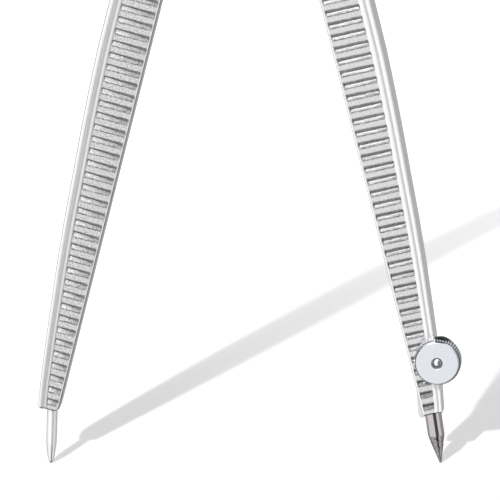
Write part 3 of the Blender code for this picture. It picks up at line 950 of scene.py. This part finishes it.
def make_lead(exit_point, way):
    cone_from = lead_out - lead_point_length
    profile = [(-lead_in, lead_radius - lead_tip_radius), (-lead_in + lead_tip_radius, lead_radius),
               (cone_from - lead_cone_step, lead_radius)]
    for k in range(lead_cone_rows + 1):
        t = k / lead_cone_rows
        profile.append((lead_out - lead_point_length * (1 - t), blend(lead_radius, lead_tip_radius, t)))
    lead = lathe("lead_sharpened", profile, exit_point, way, round_sides, reach=scraped)
    worn = [1.0 if (point.co - exit_point).dot(way) > cone_from else 0.0 for point in lead.data.vertices]
    for word, share in lead_worn:
        mark(lead, word, [share * w for w in worn])
    return lead


def make_lead_side():
    """The lead leg with its eye and lug, the lead, and the clamp: jaw, stud, washer and knob."""
    leg = leg_finish("lead_leg_ribbed", lead_leg_length, lead_leg_walls,
                     holder_top - rib_pitch, lead_leg_grain)
    way = lean_axis(lead_lean)
    exit_point = on_leg(lead_exit, 0, lead_leg_length)
    axis = on_leg(clamp_out, 0, lead_leg_length - clamp_up)
    far = leg_widest * 2
    rear_half = oblong(-far, far, -2 * lead_leg_length, -holder_top)
    combine(leg, prism("rear_half", rear_half, -parting_gap, yoke_half))

    def bore(piece):
        spare = -(lead_in + lead_spare_bore)
        drill(piece, "bore", lead_radius + lead_bore_slack, spare, lead_radius * 2, exit_point, way)

    bore(leg)
    hole = clamp_stud_radius + clamp_stud_slack
    drill(leg, "clamp_hole", hole, -yoke_half, yoke_half, axis, backward, hidden_sides)
    eye = leg_eye("lead_leg_eye", lead_leg_length, 0)
    lug = collar("lead_leg_lug", axis, -lug_front, -parting_gap, hole, lug_radius, holder_edge)
    bore(lug)
    lead = make_lead(exit_point, way)

    jaw = prism("clamp_jaw_rounded", jaw_outline(), parting_gap, jaw_back)
    bore(jaw)
    drill(jaw, "clamp_hole", hole, 0, yoke_half, axis, backward, hidden_sides)
    soften(jaw, holder_edge, segments=3)
    least, most = jaw_edge_slopes
    # Painted shade on the jaw's bevels draws a thin grey outline
    bevel_shade = [jaw_edge_shade if least < abs(face.normal.y) < most else 0.0 for face in jaw.data.polygons]
    mark(jaw, "wall_shade", bevel_shade, "FACE")

    washer_back = -lug_front - fit_gap
    washer_front = washer_back - clamp_washer_thick
    knob_back = washer_front - fit_gap
    knob_face = knob_back - knob_thick
    front = knob_face + knob_dish_depth - fit_gap
    head = jaw_back + fit_gap
    profile = (
        (front, clamp_stud_core), (front + knob_step, clamp_stud_radius * clamp_stud_tip_share),
        (front + clamp_stud_tip, clamp_stud_radius), (head, clamp_stud_radius), (head, clamp_head_radius),
        (head + clamp_head_height, clamp_head_radius), (head + clamp_head_height, clamp_stud_core),
    )
    stud = lathe("clamp_screw_peened", rounded(profile, clamp_stud_corner), axis, backward)
    washer = collar("clamp_washer_plain", axis, washer_front, washer_back, hole,
                    clamp_washer_radius, soft_edge)
    knob = make_knob(axis, knob_face, knob_back, hole)
    return hang((leg, eye, lug, lead, jaw, stud, washer, knob), 1)


def make_knob(axis, face, back, hole):
    """Knurled nut: fine straight teeth behind a turned lip, a bevelled face and a dished centre."""
    dish = face + knob_dish_depth
    profile = rounded((
        (dish, hole), (dish, knob_dish_radius), (face, knob_dish_radius), (face, knob_face_radius - knob_lip),
        (face + knob_lip_depth, knob_face_radius)), knob_corner)
    teeth_from, teeth_to = face + knob_teeth_start, back - knob_teeth_end
    slant_to = teeth_from + knob_tooth_slant
    profile += [
        (teeth_from, knob_face_radius), (teeth_from + knob_step, knob_face_radius + knob_step / 2),
        (slant_to, knob_radius - knob_step / 2), (slant_to + knob_step, knob_radius),
        (teeth_to - 3 * knob_step, knob_radius), (teeth_to - knob_step, knob_radius - 2 * knob_step),
        (teeth_to, knob_face_radius), (back, knob_face_radius - knob_back_bevel), (back, hole),
    ]

    def reach(distance, radius, angle):
        if radius <= knob_face_radius:
            return radius
        wave = abs((angle / tau * knob_teeth) % 1 - 0.5) * 2
        return radius - knob_tooth_depth * min(1.0, max(0, wave - knob_valley_from) / knob_flank)

    sides = knob_teeth * knob_columns
    knob = lathe("clamp_knob_knurled", profile, axis, backward, sides, hollow=True, reach=reach)
    # Painted shade: the dish, the front ends of the teeth and their valleys are darkened, the teeth a little
    # all over
    shades = []
    for point in knob.data.vertices:
        y, out = point.co.y, hypot(point.co.x - axis.x, point.co.z - axis.z)
        valley = (knob_radius - out) / knob_tooth_depth
        front_end = knob_front_shade if y < teeth_from + knob_front_reach else 0.0
        if out <= knob_dish_radius + knob_step and y < dish + knob_step:
            shades.append(knob_dish_shade)
        elif teeth_from - fit_gap / 10 < y < teeth_to and out > knob_dish_radius * 2:
            shades.append(min(1.0, max(front_end, knob_tooth_shade + max(0.0, valley * 2))))
        else:
            shades.append(0.0)
    mark(knob, "wall_shade", shades)
    return knob


def make_yoke():
    """Fork with rounded cheeks, a slot for the eyes, pin holes and a bore for the handle stud."""
    half = pivot_spacing / 2
    outline = arc(-half, 0, cheek_radius, -quarter, -pi - cheek_top_angle, cheek_steps)
    outline += [(-yoke_neck_half, yoke_top), (yoke_neck_half, yoke_top)]
    outline += arc(half, 0, cheek_radius, cheek_top_angle, -quarter, cheek_steps)
    narrower = 1 - yoke_bevel / (half + cheek_radius)
    lower = 1 - yoke_bevel / yoke_top
    layers = []
    for k in range(yoke_bevel_steps + 1):
        a = k / yoke_bevel_steps * quarter
        share = 1 - sin(a)
        wide, tall = blend(1, narrower, share), blend(1, lower, share)
        y = -yoke_half + yoke_bevel * (1 - cos(a))
        layers.append([(x * wide, y, z * tall) for x, z in outline])
    layers += [[(x, -y, z) for x, y, z in layer] for layer in reversed(layers)]
    yoke = mesh_object("head_yoke_milled", sum(layers, []), ring_faces(len(layers), len(outline), False))
    boss = yoke_half - yoke_bevel
    boss_top = lathe("boss", ((-yoke_bevel, boss), (boss_height, boss)), (0, 0, yoke_top), upward)
    combine(yoke, boss_top, "UNION")
    wide = pivot_spacing + 2 * cheek_radius
    combine(yoke, prism("slot", oblong(-wide, wide, -wide, slot_top), -slot_half, slot_half))
    for x in (-half, half):
        drill(yoke, "pin_hole", pin_radius + fit_gap, -wide, wide, (x, 0, 0), backward)
    deep = yoke_top + boss_height - stud_in_yoke - stud_end_gap
    drill(yoke, "stud_bore", stud_radius + fit_gap, deep, wide, origin, upward)
    soften(yoke, soft_edge, yoke_bevel_angle)
    yoke.data.transform(Matrix.Translation((0, 0, -pivot_drop)))
    return yoke


def make_grip():
    """Round grip: flat top, diamond knurl between two plain bands, a waist and a base flange."""
    flange = yoke_half - yoke_bevel
    bore = stud_radius + fit_gap
    bore_top = grip_base + stud_in_grip + stud_end_gap
    profile = rounded((
        (0, grip_core), (0, grip_radius - grip_bevel), (-grip_bevel, grip_radius),
        (-grip_knurl_start, grip_radius)), grip_corners[0], 5)
    row = grip_flute_width / grip_columns
    knurl_from = grip_knurl_start + grip_knurl_margin
    rows = int((grip_knurl_end - grip_knurl_margin - knurl_from) / row)
    profile += [(-knurl_from - row * k, grip_radius) for k in range(rows + 1)]
    profile += rounded((
        (-grip_knurl_end, grip_radius), (-grip_knurl_end - grip_bevel, grip_radius - grip_bevel / 4),
        (-grip_knurl_end - grip_bevel * 3, grip_waist_radius),
        (grip_base + grip_bevel * 2, grip_waist_radius), (grip_base + grip_bevel, flange - grip_bevel / 3),
        (grip_base + grip_bevel / 2, flange), (grip_base, flange), (grip_base, bore),
        (bore_top, bore), (bore_top, grip_core),
    ), grip_corners[1], 5)

    def reach(distance, radius, angle):
        if not -grip_knurl_end < distance < -grip_knurl_start:
            return radius
        turns = angle / tau * grip_flutes
        climb = (distance + knurl_from) / grip_flute_width
        first, second = (abs(place % 1 - 0.5) * 2 for place in (turns + climb, turns - climb))
        from_end = min(-grip_knurl_start - distance, distance + grip_knurl_end)
        return radius - grip_knurl_depth * min(1, from_end / grip_knurl_fade) * max(first ** 2, second ** 2)

    grip = lathe("handle_grip_knurled", profile, origin, upward, grip_flutes * grip_columns, reach=reach)
    # Painted shade: the knurl is darkened the deeper its valleys sink
    shades = []
    for point in grip.data.vertices:
        sunk = (grip_radius - hypot(point.co.x, point.co.y)) / grip_knurl_depth
        knurled = -grip_knurl_end < point.co.z < -grip_knurl_start
        shades.append(min(1, max(0, sunk)) * grip_knurl_shade if knurled else 0.0)
    mark(grip, "wall_shade", shades)
    bottom, top = grip_base - stud_in_yoke, grip_base + stud_in_grip
    profile = ((bottom, screw_core), (bottom, stud_radius - stud_tip), (bottom + stud_tip, stud_radius),
               (top - stud_tip, stud_radius), (top, stud_radius - stud_tip), (top, screw_core))
    stud = lathe("handle_stud_turned", rounded(profile, screw_core), origin, upward, bore_sides)
    return grip, stud


def make_pivot(word):
    """Slotted screw, nut and two friction washers of one hinge, about the origin."""
    face, back = -yoke_half - fit_gap, yoke_half + fit_gap
    head, nut_back = face - screw_head_height, back + nut_height
    tail = nut_back + screw_tail
    lip = screw_head_height / 5
    profile = ((head, screw_core), (head, screw_head_radius), (face, screw_head_radius), (face, pin_radius),
               (tail, pin_radius), (tail, screw_core))
    screw = lathe("pivot_screw_%s_slotted" % word, rounded(profile, lip, 4), origin, backward, round_sides)
    wide, slot = screw_head_radius * 2, screw_slot_width / 2
    outline = oblong(-wide, wide, -slot, slot)
    combine(screw, prism("slot", outline, head - screw_head_height, head + screw_slot_depth))
    soften(screw, screw_edge, screw_bevel_angle)
    corner = nut_across_flats / sqrt(3)
    nut = lathe("pivot_nut_%s_hex" % word, ((back, corner), (nut_back, corner)), origin, backward, 6)
    profile = ((back - lip, corner - lip / 2), (nut_back - lip, corner), (nut_back + lip, corner - lip * 3))
    combine(nut, lathe("trim", profile, origin, backward, round_sides), "INTERSECT")
    hole = pin_radius + fit_gap
    drill(nut, "hole", hole, 0, back + 2 * nut_height, origin, backward)
    soften(nut, screw_edge, sharp_angle)
    near = eye_half_thick + washer_clearance
    far = near + washer_thick
    washers = []
    for place, low, high in (("front", -far, -near), ("back", near, far)):
        name = "washer_%s_%s_turned" % (place, word)
        washers.append(collar(name, origin, low, high, hole, washer_radius, washer_corner))
    return screw, nut, *washers


def make_light():
    """A pale light tent that only bright metal mirrors, plain light from all round, and the sun."""
    world = bpy.data.worlds.new("studio")
    scene.world = world
    world.use_nodes = True
    tree = world.node_tree
    plus, minus, times = sums(tree)
    plain = tree.nodes["Background"]
    plain.inputs["Color"].default_value = (1, 1, 1, 1)
    way = add_node(tree, "ShaderNodeTexCoord")
    split = add_node(tree, "ShaderNodeSeparateXYZ")
    tree.links.new(way.outputs["Generated"], split.inputs[0])
    turned = count_up(tree, "ARCTAN2", split.outputs["X"], times(split.outputs["Y"], -1.0))
    round_by = times(minus(turned, view_azimuth), 180 / pi)
    height = split.outputs["Z"]
    pattern = graph(tree, round_by, -180, 180, tent_round)
    show = graph(tree, height, -1, 1, tent_pattern)
    level = plus(times(pattern, show), minus(1.0, show))
    level = times(level, graph(tree, height, -1, 1, tent_height))
    opening = graph(tree, height, -1, 1, tent_back_height)
    opening = times(opening, minus(1.0, graph(tree, round_by, -180, 180, tent_back)))
    level = times(times(level, minus(1.0, opening)), tent_level)
    path = add_node(tree, "ShaderNodeLightPath")
    clear = count_up(tree, "MAXIMUM", path.outputs["Is Camera Ray"], path.outputs["Is Transmission Ray"])
    glossy = path.outputs["Is Glossy Ray"]
    rest = count_up(tree, "MAXIMUM", minus(minus(1.0, clear), glossy), 0.0)
    total = plus(plus(clear, times(rest, world_level)), times(glossy, level))
    tree.links.new(total, plain.inputs["Strength"])

    way = Vector(light_travel).normalized()
    for strength, spread in key_parts:
        key = bpy.data.lights.new("key", "SUN")
        key.angle = spread
        key.energy = strength
        lamp = add_object("key", key)
        lamp.location = -way
        aim(lamp, way)
        lamp.visible_camera = False


scene.view_settings.view_transform = "Standard"
make_camera()
make_floor()
make_light()

leg_metal = "satin_chrome", plated("leg_chrome", (0.84, 0.835, 0.84), 0.14)
chrome = "satin_chrome", plated("satin_chrome", (0.78, 0.785, 0.79), 0.2)
polished = "polished_steel", plated("polished_steel", (0.88, 0.87, 0.86), 0.16)
turned = "turned_steel", plated("turned_steel", (0.79, 0.82, 0.875), 0.17)
brass = "brass_washer", plated("washer_brass", (0.72, 0.53, 0.24), 0.3)
graphite = "graphite", plated("graphite_lead", (0.54, 0.505, 0.52), 0.07)

needle_leg, needle_eye, needle, grub = make_needle_side()
for piece in (needle_leg, needle_eye):
    finish(piece, "needle_arm", "needle_leg", leg_metal)
finish(needle, "needle_arm", "needle", polished)
finish(grub, "needle_arm", "needle_set_screw", turned)

lead_leg, lead_eye, lug, lead, jaw, stud, washer, knob = make_lead_side()
for piece in (lead_leg, lead_eye, lug):
    finish(piece, "lead_arm", "lead_leg", leg_metal)
finish(washer, "lead_arm", "clamp_washer", turned)
finish(lead, "lead_stick", "lead", graphite)
finish(jaw, "jaw_set", "clamp_jaw", chrome)
finish(stud, "jaw_set", "clamp_screw", turned)
finish(knob, "knob", "clamp_knob", turned)

finish(make_yoke(), "head", "head_yoke", chrome)
for piece, node in zip(make_grip(), ("handle_grip", "handle_stud")):
    finish(piece, "head", node, turned)
for word, sign in (("needle", -1), ("lead", 1)):
    nodes = ("pivot_screw_", "pivot_nut_", "washer_front_", "washer_back_")
    for piece, node, metal in zip(make_pivot(word), nodes, (polished, polished, brass, brass)):
        piece.data.transform(pivot_place(sign))
        finish(piece, "head", node + word, metal)
